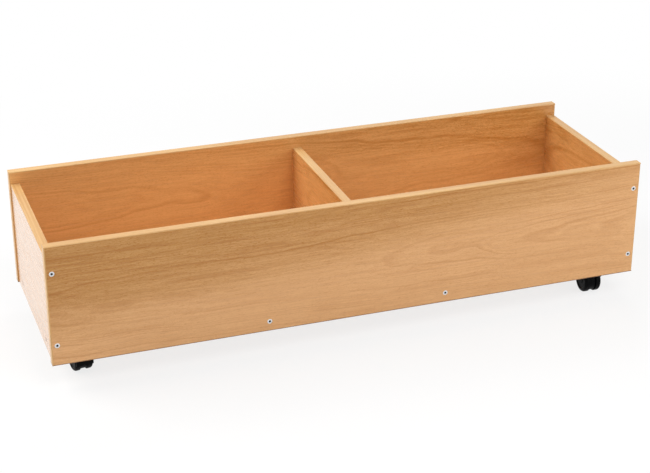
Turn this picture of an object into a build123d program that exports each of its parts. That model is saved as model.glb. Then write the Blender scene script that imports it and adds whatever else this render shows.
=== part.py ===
from build123d import *
from math import hypot, sqrt
import os

# A low, open toy box of beech-faced board, rolling on four black twin-wheel castors.
# The front and back walls run the full length and stand higher than the ends and the divider.
# X runs along the box, Y from front to back and Z up. The origin is on the floor, under the middle.
# Every size is in millimetres and every angle in degrees.

# Boards
BOX_LENGTH = 1200.0  # front and back walls, end to end
BOX_DEPTH = 390.0  # face of the front wall to face of the back wall
WALL_HEIGHT = 240.0  # front and back walls
BOARD = 18.0  # thickness of every board
END_DROP = 25.0  # the ends and the divider stop this far below the rim
END_INSET = 2.5  # the walls run past the ends by this much
BASE_LIFT = 11.0  # underside of the base above the lower edge of the walls

# Edging strips glued on the cut edges
EDGING = 2.0  # thickness
EDGING_ROUND = 1.5  # radius along the outer corners

# Confirmat screws that pull the boards together
SCREW_LENGTH = 50.0
SCREW_HEAD = 10.0  # diameter
SCREW_HEAD_RIM = 0.6  # straight rim above the countersunk cone
SCREW_NECK = 7.0  # diameter of the plain neck
SCREW_NECK_LENGTH = 13.0  # head face to the start of the thread
SCREW_THREAD = 6.2  # mean diameter of the thread
SCREW_TIP = 3.0  # diameter at the point
SCREW_TIP_LENGTH = 4.0
SCREW_SOCKET = 4.0  # hexagon, across flats
SCREW_SOCKET_DEPTH = 3.5
SCREW_SINK = 0.3  # head face below the board's surface
HOLE_FIT = 0.05  # room all round a screw or dowel in its hole
END_SCREW_UP = 41.0  # lower end screw above the lower edge of the walls
END_SCREW_DOWN = 29.0  # upper end screw below the top of the ends
BASE_SCREW_SPACING = 364.0  # between the two base screws in each wall
BASE_SCREW_MARGIN = 52.0  # base screws in each end, from the base's corners
DIVIDER_SCREW_SPACING = 200.0  # between the two screws up through the base

# Dowels between the divider and the walls
DOWEL_DIAMETER = 8.0
DOWEL_LENGTH = 35.0
DOWEL_IN_WALL = 12.0  # length inside the wall
DOWEL_CHAMFER = 0.8
DOWEL_END_ROOM = 0.5  # glue space past each end
DOWEL_MARGIN = 35.0  # from the divider's top and from the base

# Castor wheels
WHEEL_DIAMETER = 50.0
WHEEL_WIDTH = 11.5
TREAD_ROUND = 5.0  # outer shoulder of the tread
TREAD_CHAMFER = 0.8  # inner shoulder of the tread
RIM_WALL = 3.5
DISC_WALL = 3.0  # plate between the hub and the rim
FACE_DISH = 1.2  # hollow in the outer face
FACE_RING = 2.0  # flat ring round the hollow
HUB_WALL = 3.5  # round the axle
HUB_PROUD = 0.3  # hub past the wheel's inner face
RIB_COUNT = 6
RIB_WIDTH = 1.8

# Axle, shared by the two wheels of a castor
AXLE_DIAMETER = 6.0
AXLE_IN_WHEEL = 7.5  # length inside each wheel
AXLE_CHAMFER = 0.5
AXLE_END_ROOM = 0.5
RUNNING_FIT = 0.05  # radial room on the axle and on the kingpin
SNAP_FROM_END = 2.5  # middle of the snap groove, from the axle's end
SNAP_GROOVE = 1.4  # width
SNAP_GROOVE_DEPTH = 0.4
SNAP_BEAD = 0.8  # width of the bead in the wheel that holds it on the axle
SNAP_BEAD_HEIGHT = 0.3

# Castor housing, with its hood over the wheels
TRAIL = 12.0  # kingpin to axle, level
WHEEL_SIDE_ROOM = 0.5  # between a wheel and the housing's web
HOOD_ROOM = 1.5  # between the tread and the hood
HOOD_WALL = 2.0
HOOD_INSET = 1.0  # hood short of the wheel's outer face, each side
HOOD_START = 30.0  # angle of the hood's rear lip above level
HOOD_SWEEP = 160.0  # angle from the rear lip to the front lip
HOOD_ROUND = 1.0
WEB_ROOM = 2.5  # web between the wheels short of the tread, all round
WEB_ROUND = 1.5
NECK_DIAMETER = 20.0
NECK_RISE = 7.8  # top of the neck above the hood
NECK_ROUND = 2.5  # where the neck meets the hood
PRESS_FIT = 0.02  # radial room where a pin is held fast

# Kingpin, its retaining ring, its thrust washer and the mounting plate
KINGPIN_DIAMETER = 8.0
KINGPIN_FOOT = 8.5  # lower end above the axle
KINGPIN_CHAMFER = 0.8
KINGPIN_END_ROOM = 0.5  # under the kingpin, in its socket
RIVET_HEAD = 13.0  # diameter
RIVET_HEADROOM = 0.6  # between the rivet head and the base
RING_THICKNESS = 1.0
RING_WIDTH = 1.1  # radial
RING_PROUD = 0.6  # ring past the kingpin, all round
RING_GROOVE_DEPTH = 1.3  # in the kingpin, deep enough for the ring to close as it is pushed in
RING_ROOM = 0.2  # above the ring on the kingpin, and above and below it in the housing
RING_SLOT = 3.0  # opening of the ring
RING_POCKET_ROOM = 0.3  # round the ring, in the housing
RING_POCKET_WALL = 1.1  # housing left beside the ring
RING_FROM_FOOT = 3.0  # underside of the ring above the kingpin's lower end
SWIVEL_ROOM = 0.1  # above and below the washer
WASHER_THICKNESS = 1.5
WASHER_ROOM = 0.2  # round the kingpin
PLATE_SIZE = 42.0
PLATE_THICKNESS = 2.0
PLATE_CORNER = 5.0
PLATE_DISH = 3.0  # depth of the pressed middle
PLATE_DISH_DIAMETER = 24.0
PLATE_HOLE_MARGIN = 5.0  # hole centre to the plate's edge
PLATE_HOLE_ROOM = 0.3  # round the screw

# Wood screws that hold the castor plates
CASTOR_SCREW_LENGTH = 14.0  # under the head
CASTOR_SCREW_DIAMETER = 4.0
CASTOR_SCREW_POINT = 3.0  # length of the point
CASTOR_SCREW_HEAD = 8.0
CASTOR_SCREW_HEAD_HEIGHT = 2.4
CASTOR_SCREW_HEAD_ROUND = 1.8
CASTOR_SCREW_CROSS = 4.4  # length of each arm of the cross recess
CASTOR_SCREW_CROSS_WIDTH = 1.0
CASTOR_SCREW_CROSS_DEPTH = 1.4

# Where the castors stand, and the way each one is turned
SWING_ROOM_ENDS = 2.0  # between a turning castor and the ends
SWING_ROOM_WALLS = 5.5  # between a turning castor and the walls
CASTOR_TURNS = {"front_left": 8.0, "front_right": 178.0, "back_left": 28.0, "back_right": 152.0}

# Heights of a castor, from the floor up
wheel_radius = WHEEL_DIAMETER / 2
axle_radius = AXLE_DIAMETER / 2
kingpin_radius = KINGPIN_DIAMETER / 2
axle_height = wheel_radius
hood_inner = wheel_radius + HOOD_ROOM
hood_outer = hood_inner + HOOD_WALL
neck_top = axle_height + hood_outer + NECK_RISE
washer_low = neck_top + SWIVEL_ROOM
dish_low = washer_low + WASHER_THICKNESS + SWIVEL_ROOM
plate_low = dish_low + PLATE_DISH
castor_height = plate_low + PLATE_THICKNESS
kingpin_low = axle_height + KINGPIN_FOOT
ring_low = kingpin_low + RING_FROM_FOOT
ring_high = ring_low + RING_THICKNESS

# Widths of a castor
ring_radius = kingpin_radius + RING_PROUD
pocket_radius = ring_radius + RING_POCKET_ROOM
web_half = pocket_radius + RING_POCKET_WALL
wheel_inner = web_half + WHEEL_SIDE_ROOM
castor_half = wheel_inner + WHEEL_WIDTH
hood_half = castor_half - HOOD_INSET
swing_radius = hypot(TRAIL + hood_outer, castor_half)

# Heights of the box
wall_low = castor_height - BASE_LIFT
rim = wall_low + WALL_HEIGHT
base_low = castor_height
base_high = base_low + BOARD
base_middle = base_low + BOARD / 2
end_high = rim - END_DROP

# Plan of the box
wall_half = BOX_LENGTH / 2
face = BOX_DEPTH / 2
bay = face - BOARD  # inner faces of the walls
end_outer = wall_half - END_INSET
end_inner = end_outer - BOARD
castor_x = end_inner - swing_radius - SWING_ROOM_ENDS
castor_y = bay - swing_radius - SWING_ROOM_WALLS


def block(low, high):
    """Returns a box between two opposite corners."""
    return Pos(*low) * Box(*(b - a for a, b in zip(low, high)), align=(Align.MIN,) * 3)


def turned(*outline):
    """Returns a solid turned about Z from (radius, height) points, or from edges drawn on X and Z."""
    if not isinstance(outline[0], Edge | Wire):
        outline = [Polyline(*((radius, 0, height) for radius, height in outline), close=True)]
    return revolve(make_face(outline), Axis.Z)


def confirmat_screw(grow=0.0):
    """Returns a confirmat screw along +Z with its head face at the origin, or its hole if it is grown."""
    head, neck, thread, tip = (d / 2 + grow for d in (SCREW_HEAD, SCREW_NECK, SCREW_THREAD, SCREW_TIP))
    cone_end = SCREW_HEAD_RIM + head - neck
    mouth = -SCREW_SINK if grow else 0.0
    shape = turned(
        (0, mouth),
        (head, mouth),
        (head, SCREW_HEAD_RIM),
        (neck, cone_end),
        (neck, SCREW_NECK_LENGTH),
        (thread, SCREW_NECK_LENGTH + neck - thread),
        (thread, SCREW_LENGTH - SCREW_TIP_LENGTH),
        (tip, SCREW_LENGTH + grow),
        (0, SCREW_LENGTH + grow),
    )
    if grow:
        return shape
    socket = RegularPolygon(SCREW_SOCKET / 2, 6, major_radius=False)
    return shape - extrude(socket, SCREW_SOCKET_DEPTH)


def wood_screw(grow=0.0):
    """Returns a pan-head screw along +Z with its head's seat at the origin, or its hole if it is grown."""
    shank = CASTOR_SCREW_DIAMETER / 2 + grow
    length = CASTOR_SCREW_LENGTH + grow
    head = CASTOR_SCREW_HEAD / 2
    flat = head - CASTOR_SCREW_HEAD_ROUND
    crown = -CASTOR_SCREW_HEAD_HEIGHT
    rim_low = crown + CASTOR_SCREW_HEAD_ROUND
    round_middle = CASTOR_SCREW_HEAD_ROUND * sqrt(0.5)
    shape = turned(
        Line((0, 0, crown), (flat, 0, crown)),
        ThreePointArc(
            (flat, 0, crown), (flat + round_middle, 0, rim_low - round_middle), (head, 0, rim_low)
        ),
        Polyline(
            (head, 0, rim_low),
            (head, 0, 0),
            (shank, 0, 0),
            (shank, 0, length - CASTOR_SCREW_POINT),
            (0, 0, length),
            (0, 0, crown),
        ),
    )
    if grow:
        return shape
    recess = Rectangle(CASTOR_SCREW_CROSS, CASTOR_SCREW_CROSS_WIDTH)
    recess += Rectangle(CASTOR_SCREW_CROSS_WIDTH, CASTOR_SCREW_CROSS)
    return shape - Pos(0, 0, crown) * extrude(recess, CASTOR_SCREW_CROSS_DEPTH)


def dowel(grow=0.0, end_room=0.0):
    """Returns a dowel along +Z with its middle at the origin, or its hole if it is grown."""
    shape = Cylinder(DOWEL_DIAMETER / 2 + grow, DOWEL_LENGTH + 2 * end_room)
    return shape if grow else chamfer(shape.edges(), DOWEL_CHAMFER)


def placed(shape, spots):
    """Returns one copy of a shape at each spot, a plane whose Z axis is the shape's own."""
    return [spot * shape for spot in spots]


def screw_spot(point, inward):
    """Returns the plane of a sunk screw head, at a point on a board's surface."""
    return Plane(origin=Vector(*point) + Vector(*inward) * SCREW_SINK, z_dir=inward)


# Where the fasteners go
end_heights = (wall_low + END_SCREW_UP, end_high - END_SCREW_DOWN)
end_middle = (end_inner + end_outer) / 2
wall_screws = [
    screw_spot((x, side * face, z), (0, -side, 0))
    for side in (-1, 1)
    for x, z in (
        *((end * end_middle, height) for end in (-1, 1) for height in end_heights),
        *((end * BASE_SCREW_SPACING / 2, base_middle) for end in (-1, 1)),
    )
]
base_screws = [
    screw_spot((end * end_outer, side * (bay - BASE_SCREW_MARGIN), base_middle), (-end, 0, 0))
    for end in (-1, 1)
    for side in (-1, 1)
]
divider_screws = [
    screw_spot((0, side * DIVIDER_SCREW_SPACING / 2, base_low), (0, 0, 1)) for side in (-1, 1)
]
dowel_middle = bay + DOWEL_IN_WALL - DOWEL_LENGTH / 2
dowels = [
    Plane(origin=(0, side * dowel_middle, height), z_dir=(0, side, 0))
    for side in (-1, 1)
    for height in (base_high + DOWEL_MARGIN, end_high - DOWEL_MARGIN)
]
castors = {
    name: Location(
        (castor_x * (1 if "right" in name else -1), castor_y * (1 if "back" in name else -1), 0),
        (0, 0, turn),
    )
    for name, turn in CASTOR_TURNS.items()
}
plate_hole = PLATE_SIZE / 2 - PLATE_HOLE_MARGIN
castor_screws = [
    spot * Plane(origin=(x * plate_hole, y * plate_hole, plate_low), z_dir=(0, 0, 1))
    for spot in (Pos(*location.position) for location in castors.values())
    for x in (-1, 1)
    for y in (-1, 1)
]


def drilled(board, holes, spots):
    """Returns a board less the holes that reach it."""
    return board - placed(holes, spots)


def wall_board(side):
    """Returns the front (-1) or back (1) wall inside its edging."""
    low = (-wall_half + EDGING, min(side * bay, side * face), wall_low + EDGING)
    high = (wall_half - EDGING, max(side * bay, side * face), rim - EDGING)
    board = block(low, high)
    near = slice(0, len(wall_screws) // 2) if side < 0 else slice(len(wall_screws) // 2, None)
    board = drilled(board, confirmat_screw(HOLE_FIT), wall_screws[near])
    near = slice(0, len(dowels) // 2) if side < 0 else slice(len(dowels) // 2, None)
    return drilled(board, dowel(HOLE_FIT, DOWEL_END_ROOM), dowels[near])


def end_board(end):
    """Returns the left (-1) or right (1) end inside its edging."""
    low = (min(end * end_inner, end * end_outer), -bay, wall_low + EDGING)
    high = (max(end * end_inner, end * end_outer), bay, end_high - EDGING)
    reaching = [spot for spot in wall_screws + base_screws if end * spot.origin.X > end_inner]
    return drilled(block(low, high), confirmat_screw(HOLE_FIT), reaching)


def base_board():
    """Returns the base, drilled for the boards' screws and for the castors'."""
    board = block((-end_inner, -bay, base_low), (end_inner, bay, base_high))
    reaching = [spot for spot in wall_screws if abs(spot.origin.X) < end_inner]
    board = drilled(board, confirmat_screw(HOLE_FIT), reaching + base_screws + divider_screws)
    return drilled(board, wood_screw(HOLE_FIT), castor_screws)


def divider_board():
    """Returns the divider below its edging, drilled for its screws and dowels."""
    board = block((-BOARD / 2, -bay, base_high), (BOARD / 2, bay, end_high - EDGING))
    board = drilled(board, confirmat_screw(HOLE_FIT), divider_screws)
    return drilled(board, dowel(HOLE_FIT, DOWEL_END_ROOM), dowels)


def edging_strip(low, high, along, outward):
    """Returns an edging strip, rounded along the two long corners of its outer face."""
    strip = block(low, high)
    outer_face = strip.faces().sort_by(outward)[-1]
    return fillet(outer_face.edges().filter_by(along), EDGING_ROUND)


def wall_edgings(name, side):
    """Returns the four edging strips of a wall: full length above and below, and one at each end."""
    near, far = sorted((side * bay, side * face))
    left, right = Axis((0, 0, 0), (-1, 0, 0)), Axis.X
    down = Axis((0, 0, 0), (0, 0, -1))
    low_end, high_end = wall_low + EDGING, rim - EDGING
    return {
        f"{name}_top_edging": edging_strip(
            (-wall_half, near, high_end), (wall_half, far, rim), Axis.X, Axis.Z
        ),
        f"{name}_bottom_edging": edging_strip(
            (-wall_half, near, wall_low), (wall_half, far, low_end), Axis.X, down
        ),
        f"{name}_left_edging": edging_strip(
            (-wall_half, near, low_end), (-wall_half + EDGING, far, high_end), Axis.Z, left
        ),
        f"{name}_right_edging": edging_strip(
            (wall_half - EDGING, near, low_end), (wall_half, far, high_end), Axis.Z, right
        ),
    }


def end_edgings(name, end):
    """Returns the top and bottom edging strips of an end."""
    near, far = sorted((end * end_inner, end * end_outer))
    down = Axis((0, 0, 0), (0, 0, -1))
    return {
        f"{name}_top_edging": edging_strip(
            (near, -bay, end_high - EDGING), (far, bay, end_high), Axis.Y, Axis.Z
        ),
        f"{name}_bottom_edging": edging_strip(
            (near, -bay, wall_low), (far, bay, wall_low + EDGING), Axis.Y, down
        ),
    }


def divider_edging():
    """Returns the edging strip along the top of the divider."""
    return edging_strip(
        (-BOARD / 2, -bay, end_high - EDGING), (BOARD / 2, bay, end_high), Axis.Y, Axis.Z
    )


def castor_wheel():
    """Returns a wheel about Z: inner face at the origin, dished outer face up, snap bead in its bore."""
    bore = axle_radius + RUNNING_FIT
    hub = axle_radius + HUB_WALL
    rim_inner = wheel_radius - RIM_WALL
    disc = WHEEL_WIDTH - FACE_DISH - DISC_WALL
    shoulder = WHEEL_WIDTH - TREAD_ROUND
    dish_outer = wheel_radius - TREAD_ROUND - FACE_RING
    dish_floor = WHEEL_WIDTH - FACE_DISH
    bore_end = AXLE_IN_WHEEL + AXLE_END_ROOM
    bead = AXLE_IN_WHEEL - SNAP_FROM_END
    bead_radius = bore - SNAP_BEAD_HEIGHT
    round_middle = TREAD_ROUND * sqrt(0.5)
    wheel = turned(
        Polyline(
            (0, 0, bore_end),
            (bore, 0, bore_end),
            (bore, 0, bead + SNAP_BEAD / 2),
            (bead_radius, 0, bead + SNAP_BEAD / 4),
            (bead_radius, 0, bead - SNAP_BEAD / 4),
            (bore, 0, bead - SNAP_BEAD / 2),
            (bore, 0, -HUB_PROUD),
            (hub, 0, -HUB_PROUD),
            (hub, 0, disc),
            (rim_inner, 0, disc),
            (rim_inner, 0, 0),
            (wheel_radius - TREAD_CHAMFER, 0, 0),
            (wheel_radius, 0, TREAD_CHAMFER),
            (wheel_radius, 0, shoulder),
        ),
        ThreePointArc(
            (wheel_radius, 0, shoulder),
            (wheel_radius - TREAD_ROUND + round_middle, 0, shoulder + round_middle),
            (wheel_radius - TREAD_ROUND, 0, WHEEL_WIDTH),
        ),
        Polyline(
            (wheel_radius - TREAD_ROUND, 0, WHEEL_WIDTH),
            (dish_outer, 0, WHEEL_WIDTH),
            (dish_outer - FACE_DISH, 0, dish_floor),
            (hub + FACE_DISH, 0, dish_floor),
            (hub, 0, WHEEL_WIDTH),
            (0, 0, WHEEL_WIDTH),
            (0, 0, bore_end),
        ),
    )
    span = (hub + rim_inner) / 2
    rib = Pos(span, 0, (disc + TREAD_CHAMFER) / 2)
    rib *= Box(rim_inner - hub + RIM_WALL / 2, RIB_WIDTH, disc - TREAD_CHAMFER)
    return wheel + PolarLocations(0, RIB_COUNT) * rib


def castor_axle():
    """Returns an axle along X through the middle of the wheels, with a snap groove near each end."""
    half = wheel_inner + AXLE_IN_WHEEL
    groove = half - SNAP_FROM_END
    groove_radius = axle_radius - SNAP_GROOVE_DEPTH
    outline = [(axle_radius - AXLE_CHAMFER, half), (axle_radius, half - AXLE_CHAMFER)]
    for radius, height in (
        (axle_radius, groove + SNAP_GROOVE / 2),
        (groove_radius, groove + SNAP_GROOVE / 2),
        (groove_radius, groove - SNAP_GROOVE / 2),
        (axle_radius, groove - SNAP_GROOVE / 2),
    ):
        outline.append((radius, height))
    mirrored = [(radius, -height) for radius, height in reversed(outline)]
    shaft = turned((0, half), *outline, *mirrored, (0, -half))
    return Plane(origin=(0, TRAIL, axle_height), z_dir=(1, 0, 0)) * shaft


def castor_housing():
    """Returns the housing: hood over both wheels, web between them, neck, and bores for axle and kingpin."""
    sideways = Plane.YZ * Pos(TRAIL, axle_height)
    brow = CenterArc((0, 0), hood_outer, HOOD_START, HOOD_SWEEP)
    outline = make_face([brow, Line(brow @ 1, (0, 0)), Line((0, 0), brow @ 0)])
    drum = extrude(sideways * outline, hood_half, both=True)
    drum = fillet(drum.edges().filter_by(GeomType.CIRCLE), HOOD_ROUND)
    neck = Pos(0, 0, axle_height + hood_inner / 2) * Cylinder(
        NECK_DIAMETER / 2,
        neck_top - axle_height - hood_inner / 2,
        align=(Align.CENTER, Align.CENTER, Align.MIN),
    )
    body = drum + neck
    junction = [edge for edge in body.edges() if edge.geom_type not in (GeomType.LINE, GeomType.CIRCLE)]
    body = fillet(junction, NECK_ROUND)
    wheel_space = extrude(sideways * Circle(hood_inner), castor_half - web_half)
    body -= [Pos(low, 0, 0) * wheel_space for low in (-castor_half, web_half)]
    web = extrude(sideways * Circle(wheel_radius - WEB_ROOM), web_half, both=True)
    web = fillet(web.edges().filter_by(GeomType.CIRCLE), WEB_ROUND)
    axle_bore = extrude(sideways * Circle(axle_radius + PRESS_FIT), castor_half, both=True)
    socket_low = kingpin_low - KINGPIN_END_ROOM
    bore = kingpin_radius + RUNNING_FIT
    socket = turned(
        (0, socket_low),
        (bore, socket_low),
        (bore, ring_low - RING_ROOM),
        (pocket_radius, ring_low - RING_ROOM),
        (pocket_radius, ring_high + RING_ROOM),
        (bore, ring_high + RING_ROOM),
        (bore, neck_top),
        (0, neck_top),
    )
    return body + web - axle_bore - socket


def castor_kingpin():
    """Returns the kingpin: rivet head in the plate's dish, groove for the retaining ring near its foot."""
    groove_high = ring_high + RING_ROOM
    groove_radius = kingpin_radius - RING_GROOVE_DEPTH
    head_low = dish_low + PLATE_THICKNESS
    return turned(
        (0, kingpin_low),
        (kingpin_radius - KINGPIN_CHAMFER, kingpin_low),
        (kingpin_radius, kingpin_low + KINGPIN_CHAMFER),
        (kingpin_radius, ring_low),
        (groove_radius, ring_low),
        (groove_radius, groove_high),
        (kingpin_radius, groove_high),
        (kingpin_radius, head_low),
        (RIVET_HEAD / 2, head_low),
        (RIVET_HEAD / 2, castor_height - RIVET_HEADROOM),
        (0, castor_height - RIVET_HEADROOM),
    )


def castor_ring():
    """Returns the open retaining ring, on the lower flank of the kingpin's groove."""
    inner = ring_radius - RING_WIDTH
    ring = turned((inner, ring_low), (ring_radius, ring_low), (ring_radius, ring_high), (inner, ring_high))
    slot = block((0, -RING_SLOT / 2, ring_low), (ring_radius, RING_SLOT / 2, ring_high))
    return ring - slot


def castor_washer():
    """Returns the thrust washer between the housing's neck and the plate."""
    inner = kingpin_radius + WASHER_ROOM
    outer = NECK_DIAMETER / 2
    high = washer_low + WASHER_THICKNESS
    return turned((inner, washer_low), (outer, washer_low), (outer, high), (inner, high))


def castor_plate():
    """Returns the pressed steel plate, dished in the middle, with a screw hole in each corner."""
    slab = RectangleRounded(PLATE_SIZE, PLATE_SIZE, PLATE_CORNER)
    plate = Pos(0, 0, plate_low) * extrude(slab, PLATE_THICKNESS)
    dish = PLATE_DISH_DIAMETER / 2
    hollow = dish - PLATE_THICKNESS
    hollow_low = dish_low + PLATE_THICKNESS
    plate += turned((0, dish_low), (hollow, dish_low), (dish, plate_low), (0, plate_low))
    plate -= turned(
        (0, hollow_low), (hollow - PLATE_THICKNESS / 2, hollow_low), (hollow, castor_height), (0, castor_height)
    )
    plate -= Pos(0, 0, dish_low) * Cylinder(kingpin_radius + PRESS_FIT, 2 * PLATE_THICKNESS)
    hole = Cylinder(CASTOR_SCREW_DIAMETER / 2 + PLATE_HOLE_ROOM, 2 * castor_height)
    return plate - GridLocations(2 * plate_hole, 2 * plate_hole, 2, 2) * hole


def castor_pieces(name, location):
    """Returns the pieces of one castor; the plate stays square to the box and the rest is turned."""
    wheel = castor_wheel()
    hubs = {
        side: Plane(origin=(sign * wheel_inner, TRAIL, axle_height), z_dir=(sign, 0, 0))
        for side, sign in (("left", -1), ("right", 1))
    }
    pieces = {
        f"{name}_castor_plate": Pos(*location.position) * castor_plate(),
        f"{name}_castor_kingpin": location * castor_kingpin(),
        f"{name}_castor_ring": location * castor_ring(),
        f"{name}_castor_washer": location * castor_washer(),
        f"{name}_castor_housing": location * castor_housing(),
        f"{name}_castor_axle": location * castor_axle(),
    }
    for side, hub in hubs.items():
        pieces[f"{name}_castor_{side}_wheel"] = location * (hub * wheel)
    return pieces


def all_pieces():
    """Returns every piece of the toy box by name."""
    pieces = {
        "front_panel": wall_board(-1),
        "back_panel": wall_board(1),
        "left_end_panel": end_board(-1),
        "right_end_panel": end_board(1),
        "base_panel": base_board(),
        "divider_panel": divider_board(),
        "divider_top_edging": divider_edging(),
        "panel_screws": Compound(placed(confirmat_screw(), wall_screws + base_screws)),
        "divider_screws": Compound(placed(confirmat_screw(), divider_screws)),
        "divider_dowels": Compound(placed(dowel(), dowels)),
        "castor_screws": Compound(placed(wood_screw(), castor_screws)),
    }
    pieces |= wall_edgings("front", -1) | wall_edgings("back", 1)
    pieces |= end_edgings("left_end", -1) | end_edgings("right_end", 1)
    for name, location in castors.items():
        pieces |= castor_pieces(name, location)
    return pieces


os.makedirs("parts", exist_ok=True)
for node, piece in all_pieces().items():
    export_step(piece, f"parts/{node}.step")
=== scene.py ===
"""Dresses the toy box: beech-faced boards, pale edging, threaded zinc screws and black twin-wheel castors."""

import logging
import math
from collections.abc import Callable, Sequence
from dataclasses import dataclass, field, replace
from enum import Enum

import bmesh
import bpy
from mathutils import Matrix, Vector


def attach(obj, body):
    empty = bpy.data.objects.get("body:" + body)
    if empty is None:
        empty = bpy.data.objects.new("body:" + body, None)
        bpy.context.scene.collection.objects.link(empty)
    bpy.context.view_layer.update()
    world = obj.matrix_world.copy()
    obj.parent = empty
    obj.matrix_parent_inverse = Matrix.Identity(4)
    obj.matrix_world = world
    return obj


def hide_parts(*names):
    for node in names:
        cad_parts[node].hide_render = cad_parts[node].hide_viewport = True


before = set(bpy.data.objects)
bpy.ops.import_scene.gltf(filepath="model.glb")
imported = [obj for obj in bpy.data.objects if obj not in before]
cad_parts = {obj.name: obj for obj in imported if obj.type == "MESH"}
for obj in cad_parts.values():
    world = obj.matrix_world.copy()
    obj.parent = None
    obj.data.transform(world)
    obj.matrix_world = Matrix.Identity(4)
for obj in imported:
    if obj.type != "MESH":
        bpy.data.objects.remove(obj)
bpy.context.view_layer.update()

LOG = logging.getLogger("toy_box")
MM = 0.001
Colour = tuple[float, float, float]
Triple = tuple[float, float, float]
Pair = tuple[float, float]
Socket = bpy.types.NodeSocket
RECESS_SHADE = "recess"  # attribute: painted shade in a screw's driving recess, from 0 to 1
TURNED = "turned"  # attribute: how far a point of a screw's turned body lies from its axis, in metres
AIM = "aim"  # attribute: the way a fastener points
WHITE = (1.0, 1.0, 1.0, 1.0)
ORIGIN: Triple = (0.0, 0.0, 0.0)
ACROSS: Triple = (0.0, 1.0, 1.0)  # keeps only what lies across the pattern's X axis
NOISE_MIDDLE: Triple = (0.5, 0.5, 0.5)
HALF_FEED = 0.5  # a turning mark is as wide on both sides of its middle, so its wave folds there
MIX_SHARE = 0  # input of a Mix node
MIX_COLOURS = (6, 7)  # inputs of a Mix node that mixes colours
MIX_RESULT = 2  # output of a Mix node that mixes colours


def srgb(red: int, green: int, blue: int) -> Colour:
    """Turns a screen colour into the linear colour that a shader takes, by the curve of the sRGB standard.

    Args:
        red: red from 0 to 255.
        green: green from 0 to 255.
        blue: blue from 0 to 255.

    Returns:
        The three linear values from 0 to 1.
    """
    def channel(value: int) -> float:
        """Returns one linear channel."""
        share = value / 255
        return share / 12.92 if share <= 0.04045 else ((share + 0.055) / 1.055) ** 2.4

    return channel(red), channel(green), channel(blue)


class Net:
    """A node tree being built, with short calls that add a node and link its inputs."""

    def __init__(self, tree: bpy.types.NodeTree) -> None:
        """Starts on an empty tree."""
        self.tree = tree
        self.tree.nodes.clear()

    def add(self, kind: str, inputs: dict | None = None, **settings) -> bpy.types.Node:
        """Adds a node.

        Args:
            kind: the node's type name.
            inputs: value or socket for each input, by name or index.
            settings: the node's own properties.

        Returns:
            The new node.
        """
        node = self.tree.nodes.new(kind)
        for name, value in settings.items():
            setattr(node, name, value)
        for key, value in (inputs or {}).items():
            if isinstance(value, Socket):
                self.tree.links.new(value, node.inputs[key])
            else:
                node.inputs[key].default_value = value
        return node

    def link(self, node: bpy.types.Node, **sockets: Socket) -> None:
        """Links sockets to a node's inputs, named with _ for a space."""
        for name, socket in sockets.items():
            self.tree.links.new(socket, node.inputs[name.replace("_", " ")])

    def place(self) -> Socket:
        """Returns the place on the piece, in metres."""
        return self.add("ShaderNodeTexCoord").outputs["Object"]

    def math(self, operation: str, *values: float | Socket) -> Socket:
        """Returns the output of a Math node over the given values."""
        return self.add("ShaderNodeMath", dict(enumerate(values)), operation=operation).outputs[0]

    def vector(self, operation: str, *values: Triple | Socket) -> Socket:
        """Returns the vector output of a Vector Math node over the given values."""
        return self.add("ShaderNodeVectorMath", dict(enumerate(values)), operation=operation).outputs[0]

    def measure(self, operation: str, *values: Triple | Socket) -> Socket:
        """Returns the single value that a Vector Math node makes of the given values."""
        node = self.add("ShaderNodeVectorMath", dict(enumerate(values)), operation=operation)
        return node.outputs["Value"]

    def turned(self, place: Socket, turn: Triple, shift: Triple = ORIGIN) -> Socket:
        """Returns a place turned about the origin and then shifted."""
        inputs = {"Vector": place, "Rotation": turn, "Location": shift}
        return self.add("ShaderNodeMapping", inputs).outputs[0]

    def ramp(self, value: Socket, low: float, high: float, start: float = 0.0, end: float = 1.0) -> Socket:
        """Returns a value moved smoothly from low..high onto start..end, and held at both ends."""
        inputs = {"Value": value, "From Min": low, "From Max": high, "To Min": start, "To Max": end}
        return self.add("ShaderNodeMapRange", inputs, interpolation_type="SMOOTHSTEP").outputs[0]

    def tint(self, share: Socket, first: Colour | Socket, second: Colour | Socket) -> Socket:
        """Returns the first colour turned into the second by a share."""
        node = self.add("ShaderNodeMix", {MIX_SHARE: share}, data_type="RGBA")
        for index, value in zip(MIX_COLOURS, (first, second)):
            if isinstance(value, Socket):
                self.tree.links.new(value, node.inputs[index])
            else:
                node.inputs[index].default_value = (*value, 1.0)
        return node.outputs[MIX_RESULT]

    def bump(self, height: Socket, strength: float, depth: float) -> Socket:
        """Returns the normal of a bumped surface."""
        inputs = {"Strength": strength, "Distance": depth, "Height": height}
        return self.add("ShaderNodeBump", inputs).outputs[0]


@dataclass(frozen=True)
class Cloud:
    """Fractal noise of one scale."""

    cells: Triple  # per metre along each axis
    detail: float = 2.0  # how many finer layers
    rough: float = 0.5  # how strong the finer layers are

    def node(self, net: Net, place: Socket) -> bpy.types.Node:
        """Returns the noise's node, for its colour as well as its value."""
        scaled = net.vector("MULTIPLY", place, self.cells)
        inputs = {"Vector": scaled, "Scale": 1.0, "Detail": self.detail, "Roughness": self.rough}
        return net.add("ShaderNodeTexNoise", inputs)

    def draw(self, net: Net, place: Socket) -> Socket:
        """Returns the noise at a place, from 0 to 1."""
        return self.node(net, place).outputs["Fac"]


@dataclass(frozen=True)
class Mark:
    """One kind of mark on a surface, which shows where its noise is high."""

    cloud: Cloud
    span: Pair  # the noise at which a mark starts to show, and at which it is full
    tone: float = 1.0  # how far a full mark turns the surface to its darker colour

    def draw(self, net: Net, place: Socket, start: float = 0.0, end: float = 1.0) -> Socket:
        """Returns the strength of the mark at a place: start where it is missing, end where it is full."""
        return net.ramp(self.cloud.draw(net, place), *self.span, start, end)


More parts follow.
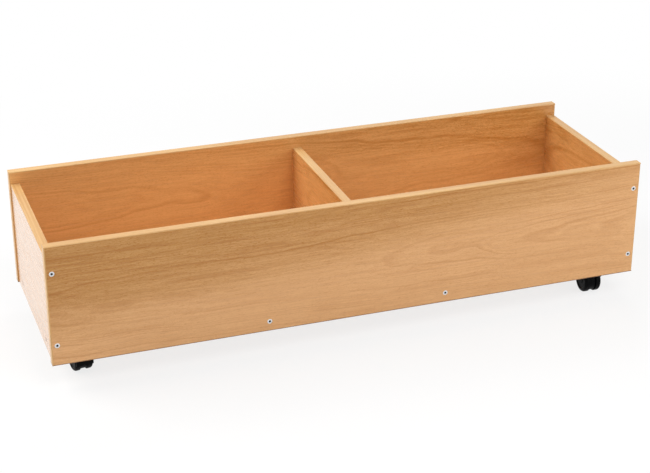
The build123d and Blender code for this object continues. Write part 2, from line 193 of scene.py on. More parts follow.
@dataclass(frozen=True)
class Sway:
    """How the grain wanders off its straight course."""

    cloud: Cloud
    reach: Pair  # how far it wanders, end to end, on the pattern's Y and Z axes, in metres

    def bend(self, net: Net, place: Socket) -> Socket:
        """Returns a place moved as the grain wanders there."""
        shift = net.vector("SUBTRACT", self.cloud.node(net, place).outputs["Color"], NOISE_MIDDLE)
        return net.vector("MULTIPLY_ADD", shift, (0.0, *self.reach), place)


@dataclass(frozen=True)
class Rings:
    """The year rings of a log. Each darkens slowly outwards and ends quickly, and no two years are alike."""

    width: float = 3.6 * MM
    tone: float = 0.64  # how far the darkest ring turns the wood to its darker colour
    drift: float = 2.4  # years by which rings crowd or spread
    drift_cells: float = 60.0  # per metre outwards
    drift_detail: float = 1.0
    rise: Pair = (0.1, 0.72)  # the part of a year in which it darkens
    fall: Pair = (0.76, 1.0)  # the part of a year in which it ends
    weak_years: float = 0.15  # share of the years that are the weakest
    weakest: float = 0.12
    fade: Mark = Mark(Cloud((2.6, 16.0, 16.0)), (0.35, 0.65))
    faintest: float = 0.35  # strength of the rings where they fade along the grain

    def draw(self, net: Net, place: Socket) -> Socket:
        """Draws the rings round the pattern's X axis.

        Args:
            net: the material's nodes.
            place: the place in the log.

        Returns:
            How dark the ring is there, from 0 to 1.
        """
        radius = net.measure("LENGTH", net.vector("MULTIPLY", place, ACROSS))
        inputs = {"Scale": self.drift_cells, "Detail": self.drift_detail}
        uneven = net.add("ShaderNodeTexNoise", inputs, noise_dimensions="1D")
        net.link(uneven, W=radius)
        years = net.math("DIVIDE", radius, self.width)
        years = net.math("MULTIPLY_ADD", uneven.outputs["Fac"], self.drift, years)
        year = net.math("FRACT", years)
        edge = net.math("MULTIPLY", net.ramp(year, *self.rise), net.ramp(year, *self.fall, 1.0, 0.0))
        growth = net.add("ShaderNodeTexWhiteNoise", noise_dimensions="1D")
        net.link(growth, W=net.math("FLOOR", years))
        strength = net.ramp(growth.outputs["Value"], self.weak_years, 1.0, self.weakest, 1.0)
        edge = net.math("MULTIPLY", edge, strength)
        return net.math("MULTIPLY", edge, self.fade.draw(net, place, self.faintest))


class Finish:
    """A surface finish, made into a material the first time it is asked for."""

    name: str

    def material(self) -> bpy.types.Material:
        """Returns the finish's material."""
        found = bpy.data.materials.get(self.name)
        if found:
            return found
        material = bpy.data.materials.new(self.name)
        material.use_nodes = True
        net = Net(material.node_tree)
        shader = net.add("ShaderNodeBsdfPrincipled")
        net.add("ShaderNodeOutputMaterial", {"Surface": shader.outputs[0]})
        self.paint(net, shader)
        return material

    def paint(self, net: Net, shader: bpy.types.Node) -> None:
        """Draws the finish on the shader."""
        raise NotImplementedError


class Grain(Enum):
    """The way the grain runs, as the turn that brings it onto the pattern's X axis."""

    ALONG_X = (0.0, 0.0, 0.0)
    ALONG_Y = (0.0, 0.0, -math.pi / 2)
    ALONG_Z = (0.0, math.pi / 2, 0.0)


@dataclass(frozen=True)
class BeechFinish(Finish):
    """Satin beech face, cut at a slant from a log with a darker heart.

    Every mark is drawn out along the grain, and turns the wood towards the dark colour by its own tone.
    """

    name: str
    grain: Grain
    pith: Triple  # shift that brings the log's middle onto the pattern's X axis, in metres
    slant: float = 0.06  # lean of the log to the board's face, in radians
    heart_way: Triple = (0.0, 0.0, 1.0)  # the way across the board that the heart colour deepens
    heart_span: Pair = (0.12, 0.36)  # where it starts and where it is full, in metres that way
    heart_patch: Cloud = Cloud((1.6, 22.0, 22.0), 3.0, 0.55)
    patch_reach: float = 0.7  # how far the patches shift the heart's edge, as a share of its span
    sap: Colour = srgb(224, 171, 116)
    heart: Colour = srgb(197, 145, 80)
    dark: Colour = srgb(163, 97, 6)
    sway: Sway = Sway(Cloud((4.5, 7.0, 7.0)), (26.0 * MM, 12.0 * MM))
    ripple: Sway = Sway(Cloud((16.0, 60.0, 60.0)), (2.4 * MM, 2.4 * MM))
    rings: Rings = Rings()
    streak: Mark = Mark(Cloud((2.6, 230.0, 230.0), 5.0, 0.62), (0.4, 0.7), 0.6)
    dash: Mark = Mark(Cloud((60.0, 620.0, 620.0), 3.0, 0.6), (0.5, 0.76), 0.36)
    pore: Mark = Mark(Cloud((24.0, 1900.0, 1900.0), 2.0, 0.6), (0.5, 0.76), 0.5)
    fleck: Mark = Mark(Cloud((150.0, 2100.0, 2100.0), 1.0), (0.56, 0.7), 0.8)
    sap_marks: float = 0.4  # how strong the marks stay outside the heart
    sheen: Pair = (0.2, 0.32)  # roughness beside the streaks and on them
    specular: float = 0.3
    coat: float = 0.4  # how much lacquer lies on the wood
    coat_roughness: float = 0.22
    hollow: float = -0.5  # height of a pore or a fleck, in depths of the relief
    relief: float = 0.05
    relief_depth: float = 0.08 * MM

    def paint(self, net: Net, shader: bpy.types.Node) -> None:
        """Draws the heart, the rings and the finer marks along the grain."""
        shader.inputs["Specular IOR Level"].default_value = self.specular
        shader.inputs["Coat Weight"].default_value = self.coat
        shader.inputs["Coat Roughness"].default_value = self.coat_roughness
        place = net.place()
        along = net.turned(place, self.grain.value)
        log = net.turned(along, (0.0, 0.0, self.slant), self.pith)
        bent = self.ripple.bend(net, self.sway.bend(net, log))
        marks = (self.rings, self.streak, self.dash, self.pore, self.fleck)
        late, streak, dash, pore, fleck = (mark.draw(net, bent) for mark in marks)
        heart = self.heartwood(net, place, bent)
        bold = net.ramp(heart, 0.0, 1.0, self.sap_marks, 1.0)
        face = net.tint(heart, self.sap, self.heart)
        for mark, drawn in zip(marks, (late, streak, dash, pore, fleck)):
            share = net.math("MULTIPLY", net.math("MULTIPLY", drawn, mark.tone), bold)
            face = net.tint(share, face, self.dark)
        hollow = net.math("MULTIPLY", net.math("ADD", pore, fleck), self.hollow)
        net.link(
            shader,
            Base_Color=face,
            Roughness=net.ramp(streak, 0.0, 1.0, *self.sheen),
            Normal=net.bump(hollow, self.relief, self.relief_depth),
        )

    def heartwood(self, net: Net, place: Socket, grain_place: Socket) -> Socket:
        """Returns how far the wood has its heart colour, in patches drawn out along the grain.

        Args:
            net: the material's nodes.
            place: the place on the board.
            grain_place: the same place in the swayed log.

        Returns:
            The share of the heart colour, from 0 to 1.
        """
        low, high = self.heart_span
        reach = self.patch_reach * (high - low)
        across = net.measure("DOT_PRODUCT", place, self.heart_way)
        depth = net.math("MULTIPLY_ADD", self.heart_patch.draw(net, grain_place), reach, across)
        return net.ramp(depth, low + reach / 2, high + reach / 2)


@dataclass(frozen=True)
class EdgingFinish(Finish):
    """Pale edging with a fine straight grain along the strip."""

    name: str
    grain: Grain
    pale: Colour = srgb(224, 182, 122)
    dark: Colour = srgb(184, 130, 76)
    streak: Mark = Mark(Cloud((4.0, 330.0, 330.0), 3.0, 0.6), (0.35, 0.72), 0.4)
    shade: Mark = Mark(Cloud((3.0, 30.0, 30.0)), (0.3, 0.7), 0.35)
    fleck: Mark = Mark(Cloud((130.0, 1300.0, 1300.0), 1.0), (0.6, 0.7), 0.25)
    sheen: Pair = (0.28, 0.4)  # roughness beside the streaks and on them
    specular: float = 0.3
    relief: float = 0.06
    relief_depth: float = 0.08 * MM

    def paint(self, net: Net, shader: bpy.types.Node) -> None:
        """Draws the streaks along the strip."""
        shader.inputs["Specular IOR Level"].default_value = self.specular
        along = net.turned(net.place(), self.grain.value)
        streak = self.streak.draw(net, along)
        shade = self.shade.draw(net, along, end=self.shade.tone)
        fleck = self.fleck.draw(net, along, end=self.fleck.tone)
        share = net.math("ADD", net.math("MULTIPLY_ADD", streak, self.streak.tone, shade), fleck)
        net.link(
            shader,
            Base_Color=net.tint(share, self.pale, self.dark),
            Roughness=net.ramp(streak, 0.0, 1.0, *self.sheen),
            Normal=net.bump(streak, self.relief, self.relief_depth),
        )


@dataclass(frozen=True)
class ZincFinish(Finish):
    """Bright zinc plate, faintly clouded, ringed where it was turned, and darkened with painted shade in a
    driving recess.
    """

    name: str
    pale: Colour = srgb(246, 247, 247)
    dull: Colour = srgb(234, 236, 238)
    # painted shade: the colour that stands in for the shade inside a driving recess
    recess: Colour = srgb(34, 36, 40)
    groove: Colour = srgb(150, 154, 160)
    shade: Mark = Mark(Cloud((420.0,) * 3, 3.0, 0.6), (0.3, 0.7))
    scratch: Cloud = Cloud((2600.0,) * 3, 2.0, 0.6)
    feed: float = 0.34 * MM  # from one turning mark to the next
    wobble: float = 0.5  # how far the scratches shift a turning mark, in feeds
    groove_span: Pair = (0.1, 0.5)  # where a turning mark starts and where it is deepest, in feeds
    groove_tone: float = 0.3
    sheen: Pair = (0.24, 0.4)  # roughness of the pale plate and of the dull
    relief: float = 0.06
    relief_depth: float = 0.04 * MM

    def paint(self, net: Net, shader: bpy.types.Node) -> None:
        """Draws the clouded plate, the fine turning marks and the painted shade in the recess."""
        shader.inputs["Metallic"].default_value = 1.0
        place = net.place()
        shade = self.shade.draw(net, place)
        scratch = self.scratch.draw(net, place)
        rings = self.turning(net, scratch)
        # painted shade: the recess attribute turns the plate towards the recess colour
        hollow = net.add("ShaderNodeAttribute", attribute_name=RECESS_SHADE).outputs["Fac"]
        face = net.tint(shade, self.pale, self.dull)
        face = net.tint(net.math("MULTIPLY", rings, self.groove_tone), face, self.groove)
        height = net.math("SUBTRACT", scratch, rings)
        net.link(
            shader,
            Base_Color=net.tint(hollow, face, self.recess),
            Roughness=net.ramp(shade, 0.0, 1.0, *self.sheen),
            Normal=net.bump(height, self.relief, self.relief_depth),
        )

    def turning(self, net: Net, scratch: Socket) -> Socket:
        """Returns how deep in a turning mark a point lies, from 0 to 1, and 0 on what wasn't turned."""
        radius = net.add("ShaderNodeAttribute", attribute_name=TURNED).outputs["Fac"]
        turns = net.math("MULTIPLY_ADD", scratch, self.wobble, net.math("DIVIDE", radius, self.feed))
        wave = net.math("PINGPONG", turns, HALF_FEED)
        on_turned = net.math("GREATER_THAN", radius, 0.0)
        return net.math("MULTIPLY", net.ramp(wave, *self.groove_span), on_turned)


@dataclass(frozen=True)
class NylonFinish(Finish):
    """Moulded nylon with a fine eroded texture and slightly rubbed patches."""

    name: str
    deep: Colour = srgb(3, 3, 4)
    rubbed: Colour = srgb(9, 9, 10)
    rub: Mark = Mark(Cloud((120.0,) * 3, 4.0, 0.65), (0.42, 0.72))
    texture: Cloud = Cloud((1500.0,) * 3)
    sheen: Pair = (0.42, 0.58)  # roughness beside the rubbed patches and on them
    specular: float = 0.06
    relief: float = 0.15
    relief_depth: float = 0.08 * MM

    def paint(self, net: Net, shader: bpy.types.Node) -> None:
        """Draws the rubbed patches and the texture."""
        shader.inputs["Specular IOR Level"].default_value = self.specular
        place = net.place()
        rub = self.rub.draw(net, place)
        texture = self.texture.draw(net, place)
        net.link(
            shader,
            Base_Color=net.tint(rub, self.deep, self.rubbed),
            Roughness=net.ramp(rub, 0.0, 1.0, *self.sheen),
            Normal=net.bump(texture, self.relief, self.relief_depth),
        )


def dress(node: str, finish: Finish) -> None:
    """Gives a CAD node its finish.

    Args:
        node: the node's name.
        finish: what it is finished in.
    """
    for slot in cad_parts[node].material_slots:
        slot.material = finish.material()
    LOG.info("%s: %s", node, finish.name)


def settle(piece: bpy.types.Object, node: str) -> None:
    """Lets a finished piece stand for a CAD node of the box.

    Args:
        piece: the finished piece.
        node: the CAD node that it replaces.
    """
    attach(piece, "box")
    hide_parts(node)
    LOG.info("%s: %d faces", piece.name, len(piece.data.polygons))


SAME_POINT = 1e-6  # points of a CAD mesh that are closer than this, in metres, are one
END_SLICE = 0.2 * MM  # how near to a fastener's end a point belongs to that end


@dataclass(frozen=True)
class Spot:
    """Where a fastener sits: the middle of its head's face, and the way it points."""

    at: Vector
    aim: Vector


def fastener_spots(node: str) -> list[Spot]:
    """Finds each fastener of a CAD node by its own island of faces.

    Args:
        node: the node's name.

    Returns:
        One spot for each fastener, in the order that the node holds them.
    """
    mesh = bmesh.new()
    mesh.from_mesh(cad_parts[node].data)
    bmesh.ops.remove_doubles(mesh, verts=mesh.verts, dist=SAME_POINT)
    unseen = set(mesh.verts)
    spots = []
    for first in mesh.verts:
        if first not in unseen:
            continue
        unseen.discard(first)
        island = [first]
        for vertex in island:
            for edge in vertex.link_edges:
                other = edge.other_vert(vertex)
                if other in unseen:
                    unseen.discard(other)
                    island.append(other)
        spots.append(spot_of([vertex.co.copy() for vertex in island]))
    mesh.free()
    return spots


def spot_of(points: Sequence[Vector]) -> Spot:
    """Finds how one fastener sits, which lies along its longest side with its wider end as its head.

    Args:
        points: the fastener's points.

    Returns:
        Its spot.
    """
    low = Vector([min(point[axis] for point in points) for axis in range(3)])
    high = Vector([max(point[axis] for point in points) for axis in range(3)])
    size = high - low
    axis = max(range(3), key=lambda index: size[index])
    middle = (low + high) / 2

    def off_axis(point: Vector) -> float:
        """Returns how far a point lies from the fastener's axis."""
        offset = point - middle
        offset[axis] = 0.0
        return offset.length

    girth = {}
    for end in (low[axis], high[axis]):
        girth[end] = max(off_axis(point) for point in points if abs(point[axis] - end) < END_SLICE)
    head = max(girth, key=girth.get)
    at = middle.copy()
    at[axis] = head
    aim = Vector(ORIGIN)
    aim[axis] = 1.0 if head == low[axis] else -1.0
    return Spot(at, aim)


CROSS_ARM = 0.13  # half the width of a cross's arm, as a share of the cross's length
TINY = 1e-9  # stands for 0 where a number is divided by it


class Recess(Enum):
    """The shape of a screw's driving recess."""

    HEXAGON = "hexagon"
    CROSS = "cross"

    def reach(self, angle: float, size: float) -> float:
        """Returns how far the recess reaches from the middle at an angle.

        Args:
            angle: the angle round the screw.
            size: the width across a hexagon's flats, or the length of a cross.

        Returns:
            The distance to the recess's wall.
        """
        if self is Recess.HEXAGON:
            sixth = math.pi / 3
            return size / 2 / math.cos((angle + sixth / 2) % sixth - sixth / 2)
        flat, steep = sorted((abs(math.cos(angle)), abs(math.sin(angle))))
        arm = min(size / 2 / steep, CROSS_ARM * size / max(flat, TINY))
        return max(arm, CROSS_ARM * size / steep)


@dataclass(frozen=True)
class RecessRing:
    """One ring of points on the wall of a driving recess."""

    scale: float  # of the recess's outline
    depth: float
    shade: float  # how strongly painted shade darkens the recess there, from 0 to 1


@dataclass(frozen=True)
class ScrewSizes:
    """The sizes of one kind of screw, in metres, from its head's face along its shank."""

    recess: Recess
    recess_size: float
    recess_depth: float
    head: tuple[Pair, ...]  # radius and depth of each ring of the head
    core: float  # radius between the threads
    crest: float  # height of the thread above the core
    pitch: float
    thread_start: float
    tip_start: float
    length: float
    sides: int = 48
    tip: float = 0.3  # radius of the tip, as a share of the core's
    tip_round: float = 0.1 * MM

    def recess_rings(self) -> tuple[RecessRing, ...]:
        """Returns the rings of the recess, from its floor up to its rounded rim."""
        return (
            RecessRing(scale=0.8, depth=0.94 * self.recess_depth, shade=1.0),
            RecessRing(scale=0.97, depth=0.86 * self.recess_depth, shade=1.0),
            RecessRing(scale=1.0, depth=0.2 * MM, shade=1.0),
            RecessRing(scale=1.06, depth=0.02 * MM, shade=0.2),
        )

    def outside(self) -> tuple[Pair, ...]:
        """Returns the radius and depth of each ring on the outside, from the head's face to the tip."""
        neck, neck_end = self.head[-1]
        shank = (
            (self.core, neck_end + neck - self.core),
            (self.core, self.tip_start),
            (self.tip * self.core, self.length - self.tip_round),
        )
        return self.head + shank


CONFIRMAT = ScrewSizes(
    recess=Recess.HEXAGON,
    recess_size=4.0 * MM,
    recess_depth=3.5 * MM,
    head=(
        (4.75 * MM, 0.0), (4.95 * MM, 0.1 * MM), (5.0 * MM, 0.3 * MM), (5.0 * MM, 0.6 * MM),
        (3.5 * MM, 2.1 * MM), (3.5 * MM, 12.6 * MM),
    ),
    core=2.55 * MM,
    crest=0.95 * MM,
    pitch=3.0 * MM,
    thread_start=14.0 * MM,
    tip_start=46.0 * MM,
    length=50.0 * MM,
)
PAN_HEAD = ScrewSizes(
    recess=Recess.CROSS,
    recess_size=4.4 * MM,
    recess_depth=1.4 * MM,
    head=(
        (2.6 * MM, 0.05 * MM), (3.2 * MM, 0.35 * MM), (3.7 * MM, 0.85 * MM), (3.95 * MM, 1.5 * MM),
        (4.0 * MM, 2.0 * MM), (4.0 * MM, 2.4 * MM), (1.7 * MM, 2.4 * MM), (1.7 * MM, 3.6 * MM),
    ),
    core=1.4 * MM,
    crest=0.6 * MM,
    pitch=1.8 * MM,
    thread_start=4.6 * MM,
    tip_start=13.2 * MM,
    length=16.4 * MM,
    sides=72,
)
TURN_STEPS = 28  # points in one turn of a thread
RIDGE_SIDES = 4  # sides of a thread's ridge
SHARP_ANGLE = math.radians(35)  # edges that turn more than this stay sharp


@dataclass
class Screws:
    """The screws of one CAD node: a turned body and a rolled thread, set on each of the node's spots."""

    node: str
    sizes: ScrewSizes
    finish: ZincFinish

    def body(self) -> bpy.types.Object:
        """Builds one screw's body along +Z, from its head's face at the origin.

        Returns:
            The body, with the painted shade of its recess and the radius of its turned faces as attributes.
        """
        sizes = self.sizes
        mesh = bmesh.new()
        # painted shade: each point carries how darkly the shade of the recess is painted there
        shade = mesh.verts.layers.float.new(RECESS_SHADE)
        turned = mesh.verts.layers.float.new(TURNED)
        rings = []

        def ring(reach: Callable[[float], float], depth: float, hollow: float = 0.0) -> None:
            """Adds a ring of points at a depth."""
            points = []
            for step in range(sizes.sides):
                angle = 2 * math.pi * step / sizes.sides
                radius = reach(angle)
                point = mesh.verts.new((radius * math.cos(angle), radius * math.sin(angle), depth))
                point[shade] = hollow
                point[turned] = radius
                points.append(point)
            rings.append(points)

        def opening(scale: float) -> Callable[[float], float]:
            """Returns the outline of the recess at a scale."""
            return lambda angle: sizes.recess.reach(angle, sizes.recess_size) * scale

        # the recess's floor gets the full painted shade
        floor = mesh.verts.new((0.0, 0.0, sizes.recess_depth))
        floor[shade] = 1.0
        for wall in sizes.recess_rings():
            ring(opening(wall.scale), wall.depth, wall.shade)
        for radius, depth in sizes.outside():
            ring(lambda angle, radius=radius: radius, depth)
        point = mesh.verts.new((0.0, 0.0, sizes.length))
        for near, far in zip(rings, rings[1:]):
            for step in range(sizes.sides):
                after = (step + 1) % sizes.sides
                mesh.faces.new((near[step], near[after], far[after], far[step]))
        for step in range(sizes.sides):
            after = (step + 1) % sizes.sides
            mesh.faces.new((floor, rings[0][after], rings[0][step]))
            mesh.faces.new((point, rings[-1][step], rings[-1][after]))
        bmesh.ops.recalc_face_normals(mesh, faces=mesh.faces)
        data = bpy.data.meshes.new(f"{self.node}_body")
        mesh.to_mesh(data)
        mesh.free()
        return bpy.data.objects.new(f"{self.node}_body", data)

    def tree(self) -> bpy.types.NodeTree:
        """Builds the nodes that wind the thread and set a screw on every point.

        Returns:
            The tree, with its sizes as named inputs.
        """
        tree = bpy.data.node_groups.new(f"{self.node}_layout", "GeometryNodeTree")
        tree.is_modifier = True
        for name, kind in (
            ("Geometry", "Geometry"), ("Body", "Object"), ("Thread Start", "Float"),
            ("Thread Length", "Float"), ("Thread Turns", "Float"), ("Core Radius", "Float"),
            ("Crest Height", "Float"), ("Finish", "Material"),
        ):
            tree.interface.new_socket(name, in_out="INPUT", socket_type=f"NodeSocket{kind}")
        tree.interface.new_socket("Geometry", in_out="OUTPUT", socket_type="NodeSocketGeometry")
        net = Net(tree)
        given = net.add("NodeGroupInput").outputs
        path = net.add(
            "GeometryNodeCurveSpiral",
            {
                "Resolution": TURN_STEPS,
                "Rotations": given["Thread Turns"],
                "Start Radius": given["Core Radius"],
                "End Radius": given["Core Radius"],
                "Height": given["Thread Length"],
            },
        )
        upright = net.add("GeometryNodeSetCurveNormal", {"Curve": path.outputs[0]}, mode="Z_UP")
        ridge = net.add(
            "GeometryNodeCurvePrimitiveCircle", {"Resolution": RIDGE_SIDES, "Radius": given["Crest Height"]}
        )
        thread = net.add(
            "GeometryNodeCurveToMesh",
            {"Curve": upright.outputs[0], "Profile Curve": ridge.outputs[0], "Fill Caps": True},
        )
        start = net.add("ShaderNodeCombineXYZ", {"Z": given["Thread Start"]})
        moved = net.add(
            "GeometryNodeTransform", {"Geometry": thread.outputs[0], "Translation": start.outputs[0]}
        )
        turned_body = net.add("GeometryNodeObjectInfo", {"Object": given["Body"]})
        screw = net.add("GeometryNodeJoinGeometry", {0: moved.outputs[0]})
        tree.links.new(turned_body.outputs["Geometry"], screw.inputs[0])
        aim = net.add("GeometryNodeInputNamedAttribute", {"Name": AIM}, data_type="FLOAT_VECTOR")
        turn = net.add("FunctionNodeAlignRotationToVector", {"Vector": aim.outputs[0]}, axis="Z")
        whole = net.add("GeometryNodeGeometryToInstance", {0: screw.outputs[0]})
        copies = net.add(
            "GeometryNodeInstanceOnPoints",
            {"Points": given["Geometry"], "Instance": whole.outputs[0], "Rotation": turn.outputs[0]},
        )
        real = net.add("GeometryNodeRealizeInstances", {"Geometry": copies.outputs[0]})
        dressed = net.add(
            "GeometryNodeSetMaterial", {"Geometry": real.outputs[0], "Material": given["Finish"]}
        )
        net.add("NodeGroupOutput", {0: dressed.outputs[0]})
        return tree

    def build(self) -> bpy.types.Object:
        """Builds the screws as one piece that stands for the CAD node.

        Returns:
            The piece.
        """
        sizes = self.sizes
        spots = fastener_spots(self.node)
        points = bpy.data.meshes.new(f"{self.node}_points")
        points.from_pydata([spot.at for spot in spots], [], [])
        aims = points.attributes.new(AIM, "FLOAT_VECTOR", "POINT")
        for item, spot in zip(aims.data, spots):
            item.vector = spot.aim
        run = sizes.tip_start - sizes.thread_start
        values = {
            "Body": self.body(),
            "Thread Start": sizes.thread_start,
            "Thread Length": run,
            "Thread Turns": run / sizes.pitch,
            "Core Radius": sizes.core,
            "Crest Height": sizes.crest,
            "Finish": self.finish.material(),
        }
        piece = grow_nodes(f"{self.node}_threaded", points, self.tree(), values)
        bpy.data.objects.remove(values["Body"])
        settle(piece, self.node)
        return piece


def grow_nodes(name: str, seed: bpy.types.Mesh, tree: bpy.types.NodeTree, values: dict) -> bpy.types.Object:
    """Runs a node tree on a mesh and keeps the result as a plain mesh.

    Args:
        name: the piece's name.
        seed: the mesh that the tree starts from.
        tree: the tree.
        values: the tree's inputs by name.

    Returns:
        The piece, with no modifier left on it.
    """
    piece = bpy.data.objects.new(name, seed)
    bpy.context.collection.objects.link(piece)
    modifier = piece.modifiers.new(tree.name, "NODES")
    modifier.node_group = tree
    sockets = [item for item in tree.interface.items_tree if item.in_out == "INPUT"]
    for item in sockets:
        if item.name in values:
            modifier[item.identifier] = values[item.name]
    graph = bpy.context.evaluated_depsgraph_get()
    graph.update()
    grown = bpy.data.meshes.new_from_object(piece.evaluated_get(graph), depsgraph=graph)
    piece.modifiers.remove(modifier)
    piece.data = grown
    grown.name = name
    grown.shade_smooth()
    grown.set_sharp_from_angle(angle=SHARP_ANGLE)
    return piece


LIGHT_SAP = srgb(233, 176, 112)
LIGHT_HEART = srgb(217, 162, 96)


def board_finishes() -> dict[str, BeechFinish]:
    """Returns each board's own figure, by the name of its node."""
    return {
        "front_panel": BeechFinish(
            "front_beech",
            Grain.ALONG_X,
            pith=(5.9, 0.13, -0.172),
            slant=0.03,
            heart_way=(-0.12, 0.0, 1.0),
            heart_span=(0.145, 0.305),
        ),
        "back_panel": BeechFinish(
            "back_beech",
            Grain.ALONG_X,
            pith=(2.4, -0.28, -0.2),
            slant=-0.05,
            heart_way=(0.2, 0.0, 1.0),
            heart_span=(0.16, 0.44),
            sap=LIGHT_SAP,
            heart=LIGHT_HEART,
        ),
        "base_panel": BeechFinish(
            "base_beech",
            Grain.ALONG_X,
            pith=(5.1, 0.06, -0.17),
            slant=0.02,
            heart_way=(0.1, 1.0, 0.0),
            heart_span=(-0.1, 0.3),
            sap=LIGHT_SAP,
            heart=LIGHT_HEART,
        ),
        "left_end_panel": BeechFinish(
            "left_end_beech",
            Grain.ALONG_Y,
            pith=(7.3, -0.69, -0.15),
            heart_way=(0.0, 0.3, -1.0),
            heart_span=(0.0, 0.4),
            dash=replace(BeechFinish.dash, tone=0.15),
            fleck=replace(BeechFinish.fleck, tone=0.2),
            sap_marks=0.3,
            coat=0.9,
        ),
        "right_end_panel": BeechFinish(
            "right_end_beech",
            Grain.ALONG_Y,
            pith=(9.2, 0.7, -0.18),
            heart_way=(0.0, 0.3, 1.0),
            heart_span=(0.1, 0.4),
            sap=LIGHT_SAP,
            heart=LIGHT_HEART,
        ),
        "divider_panel": BeechFinish(
            "divider_beech",
            Grain.ALONG_Y,
            pith=(11.6, 0.1, -0.2),
            heart_way=(0.0, -0.3, 1.0),
            heart_span=(0.1, 0.4),
            sap=LIGHT_SAP,
            heart=LIGHT_HEART,
        ),
        "divider_dowels": BeechFinish("dowel_beech", Grain.ALONG_Y, pith=(13.0, 0.08, 0.0)),
    }


@dataclass
class Boards:
    """The six boards of the box, the edging on their cut edges and the dowels in the divider."""

    walls: tuple[str, ...] = ("front", "back")
    ends: tuple[str, ...] = ("left_end", "right_end")
    beech: dict[str, BeechFinish] = field(default_factory=board_finishes)
    # painted shade: darker colours for the walls' bottom strips, standing for the shade along their lower
    # edge
    painted_shade_pale: Colour = srgb(150, 104, 62)
    painted_shade_dark: Colour = srgb(112, 74, 42)

    def dress(self) -> None:
        """Gives each board its own figure, and each strip the grain that runs along it; the walls' bottom
        strips are darkened with painted shade.
        """
        for node, finish in self.beech.items():
            dress(node, finish)
        lengthwise = EdgingFinish("edging_lengthwise", Grain.ALONG_X)
        crosswise = EdgingFinish("edging_crosswise", Grain.ALONG_Y)
        upright = EdgingFinish("edging_upright", Grain.ALONG_Z)
        painted_shade_edging = EdgingFinish("edging_painted_shade", Grain.ALONG_X, pale=self.painted_shade_pale, dark=self.painted_shade_dark)
        for wall in self.walls:
            dress(f"{wall}_top_edging", lengthwise)
            # the bottom strips carry painted shade
            dress(f"{wall}_bottom_edging", painted_shade_edging)
            for edge in ("left", "right"):
                dress(f"{wall}_{edge}_edging", upright)
        for end in self.ends:
            for edge in ("top", "bottom"):
                dress(f"{end}_{edge}_edging", crosswise)
        dress("divider_top_edging", crosswise)


@dataclass
class Castors:
    """The four castors."""

    corners: tuple[str, ...] = ("front_left", "front_right", "back_left", "back_right")
    natural_deep: Colour = srgb(226, 222, 208)
    natural_rubbed: Colour = srgb(206, 202, 188)

    def dress(self) -> None:
        """Gives each piece of each castor its finish."""
        nylon = NylonFinish("black_nylon_moulding")
        natural = NylonFinish("natural_nylon", deep=self.natural_deep, rubbed=self.natural_rubbed)
        steel = ZincFinish("castor_zinc")
        finishes = {
            "plate": steel, "kingpin": steel, "ring": steel, "axle": steel, "washer": natural,
            "housing": nylon, "left_wheel": nylon, "right_wheel": nylon,
        }
        for corner in self.corners:
            for piece, finish in finishes.items():
                dress(f"{corner}_castor_{piece}", finish)


@dataclass(frozen=True)
class Softbox:
    """A soft rectangular lamp."""

    name: str
    at: Triple
    aim: Triple
    size: Pair
    power: float  # watts

    def hang(self) -> None:
        """Hangs the lamp, out of the camera's sight."""
        light = bpy.data.lights.new(self.name, "AREA")
        light.shape = "RECTANGLE"
        light.size, light.size_y = self.size
        light.energy = self.power
        lamp = bpy.data.objects.new(self.name, light)
        lamp.location = self.at
        lamp.rotation_euler = (Vector(self.aim) - Vector(self.at)).to_track_quat("-Z", "Y").to_euler()
        lamp.visible_camera = False
        bpy.context.collection.objects.link(lamp)


def seen(net: Net) -> Socket:
    """Returns 1 where a ray comes from the camera, a reflection or clear material."""
    path = net.add("ShaderNodeLightPath").outputs
    share = net.math("MAXIMUM", path["Is Camera Ray"], path["Is Glossy Ray"])
    return net.math("MAXIMUM", share, path["Is Transmission Ray"])


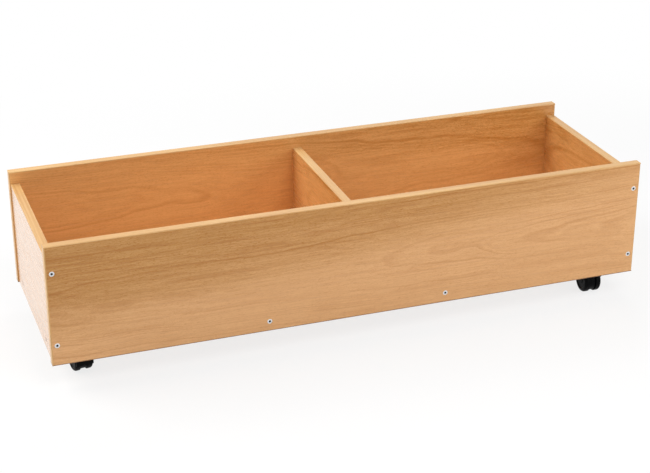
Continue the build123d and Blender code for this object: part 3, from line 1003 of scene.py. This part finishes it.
@dataclass
class Studio:
    """Pale floor, soft lamps and the camera at the photograph's angle."""

    floor_size: float = 40.0
    floor_tone: float = 0.88
    shadow_reach: Pair = (0.75, 1.5)  # where the floor's shadow starts to fade, and where it ends
    shadow_shape: Triple = (0.7, 1.0, 0.0)  # how much a metre counts there, along each axis
    shadow_share: float = 0.2
    camera_at: Triple = (-0.98480, -2.75958, 1.47800)
    camera_turn: float = math.radians(19.620)
    camera_drop: float = math.radians(24.488)
    camera_lens: float = 87.854  # millimetres
    camera_sensor: float = 36.0  # millimetres
    room_light: float = 0.18
    softboxes: tuple[Softbox, ...] = (
        Softbox("left_softbox", (-2.2, 0.7, 2.1), (-0.4, 0.0, 0.2), (1.8, 1.8), 70.0),
        Softbox("right_softbox", (1.8, -1.8, 1.2), (0.4, -0.1, 0.15), (1.4, 1.2), 20.0),
        Softbox("high_softbox", (0.2, -2.0, 2.6), (0.1, 0.1, 0.2), (1.6, 1.2), 40.0),
        Softbox("back_softbox", (0.9, 1.9, 2.5), (0.1, 0.1, 0.2), (1.4, 1.2), 24.0),
    )

    def floor(self) -> None:
        """Makes the floor, white to the camera and with a soft shadow near the box."""
        mesh = bpy.data.meshes.new("studio_floor")
        half = self.floor_size / 2
        corners = [(-half, -half, 0), (half, -half, 0), (half, half, 0), (-half, half, 0)]
        mesh.from_pydata(corners, [], [(0, 1, 2, 3)])
        material = bpy.data.materials.new("studio_white")
        material.use_nodes = True
        net = Net(material.node_tree)
        plain = net.add("ShaderNodeBsdfDiffuse", {"Color": (*(self.floor_tone,) * 3, 1.0)})
        glow = net.add("ShaderNodeEmission", {"Color": WHITE, "Strength": 1.0})
        distance = net.measure("LENGTH", net.vector("MULTIPLY", net.place(), self.shadow_shape))
        share = net.ramp(distance, *self.shadow_reach, 1.0 - self.shadow_share, 1.0)
        share = net.math("MULTIPLY", share, seen(net))
        both = net.add("ShaderNodeMixShader", {0: share, 1: plain.outputs[0], 2: glow.outputs[0]})
        net.add("ShaderNodeOutputMaterial", {"Surface": both.outputs[0]})
        mesh.materials.append(material)
        floor = bpy.data.objects.new("studio_floor", mesh)
        bpy.context.collection.objects.link(floor)

    def lamps(self) -> None:
        """Hangs the lamps and lights the room softly."""
        for lamp in self.softboxes:
            lamp.hang()
        world = bpy.data.worlds.new("studio_room")
        world.use_nodes = True
        net = Net(world.node_tree)
        light = net.math("MULTIPLY_ADD", seen(net), 1.0 - self.room_light, self.room_light)
        room = net.add("ShaderNodeBackground", {"Color": WHITE, "Strength": light})
        net.add("ShaderNodeOutputWorld", {"Surface": room.outputs[0]})
        bpy.context.scene.world = world

    def camera(self) -> None:
        """Sets the camera where the photograph was taken from."""
        data = bpy.data.cameras.new("photo_camera")
        data.sensor_fit = "HORIZONTAL"
        data.sensor_width = self.camera_sensor
        data.lens = self.camera_lens
        camera = bpy.data.objects.new("photo_camera", data)
        camera.location = self.camera_at
        camera.rotation_euler = (math.pi / 2 - self.camera_drop, 0.0, -self.camera_turn)
        bpy.context.collection.objects.link(camera)
        bpy.context.scene.camera = camera

    def build(self) -> None:
        """Sets the floor, lamps, camera and colour handling."""
        self.floor()
        self.lamps()
        self.camera()
        bpy.context.scene.view_settings.view_transform = "Standard"


def main() -> None:
    """Builds each sub-assembly in order, then the studio."""
    logging.basicConfig(level=logging.INFO, format="%(name)s: %(message)s")
    zinc = ZincFinish("screw_zinc")
    Boards().dress()
    Screws("panel_screws", CONFIRMAT, zinc).build()
    Screws("divider_screws", CONFIRMAT, zinc).build()
    Screws("castor_screws", PAN_HEAD, zinc).build()
    Castors().dress()
    Studio().build()


if __name__ == "__main__":
    main()
